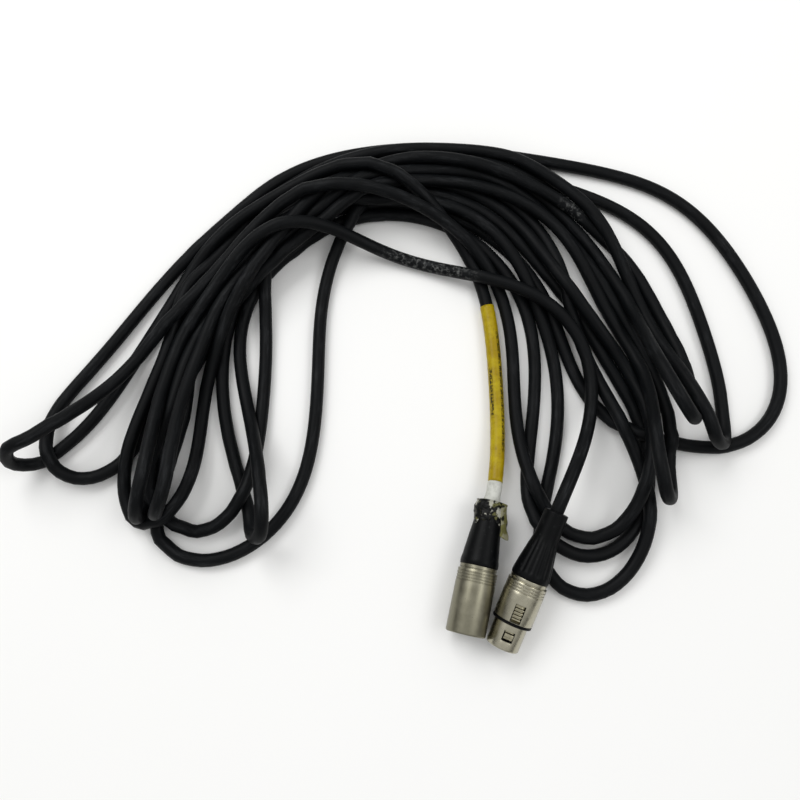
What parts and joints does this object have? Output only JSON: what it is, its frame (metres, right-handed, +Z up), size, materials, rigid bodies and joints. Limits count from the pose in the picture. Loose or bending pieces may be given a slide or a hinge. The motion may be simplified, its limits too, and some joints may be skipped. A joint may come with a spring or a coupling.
{
  "type": "microphone cable",
  "caption": "Three-pin microphone cable lying in a loose arch, with a male plug and a latching female plug at its ends.",
  "frame": {"origin": "on the surface, under the middle of the two plugs' common box", "axes": "+Z up; +Y along the male plug's axis, from its mouth to its cable end"},
  "size_m": [0.3687, 0.2581, 0.0363],
  "materials": {
    "jacket": "matte, dusty",
    "label": "satin tape",
    "white_tape": "matte tape",
    "torn_tape": "torn cloth tape",
    "nickel": "satin nickel plate",
    "insert": "moulded",
    "contact": "plated",
    "spring_metal": "bare",
    "latch_metal": "worn",
    "chuck": "moulded",
    "boot": "moulded, satin",
    "core": "extruded"
  },
  "bodies": {
    "plugs_and_cable": {"cable": "jacket", "label_sleeve": "label", "white_tape": "white_tape", "torn_tape": "torn_tape", "male_shell": "nickel", "male_insert": "insert", "male_pin_1": "contact", "male_pin_2": "contact", "male_pin_3": "contact", "male_ground_tab": "spring_metal", "male_chuck": "chuck", "male_boot": "boot", "male_wires": "core", "female_shell": "nickel", "shoulder_ring": "boot", "female_barrel": "nickel", "female_insert": "insert", "socket_1": "contact", "socket_2": "contact", "socket_3": "contact", "latch_pin": "spring_metal", "latch_spring": "spring_metal", "female_ground_tab": "spring_metal", "female_chuck": "chuck", "female_boot": "boot", "female_wires": "core"},
    "latch_lever": {"latch": "latch_metal"}
  },
  "joints": [
    {"name": "latch_press", "type": "hinge", "parent": "plugs_and_cable", "child": "latch_lever", "pos_m": [0.00886, -0.01011, 0.01857], "axis": [0.9842, -0.1771, 0], "range_deg": [0, 4], "stiffness_Nm_per_rad": 0.15, "springref_deg": -2.86}
  ]
}
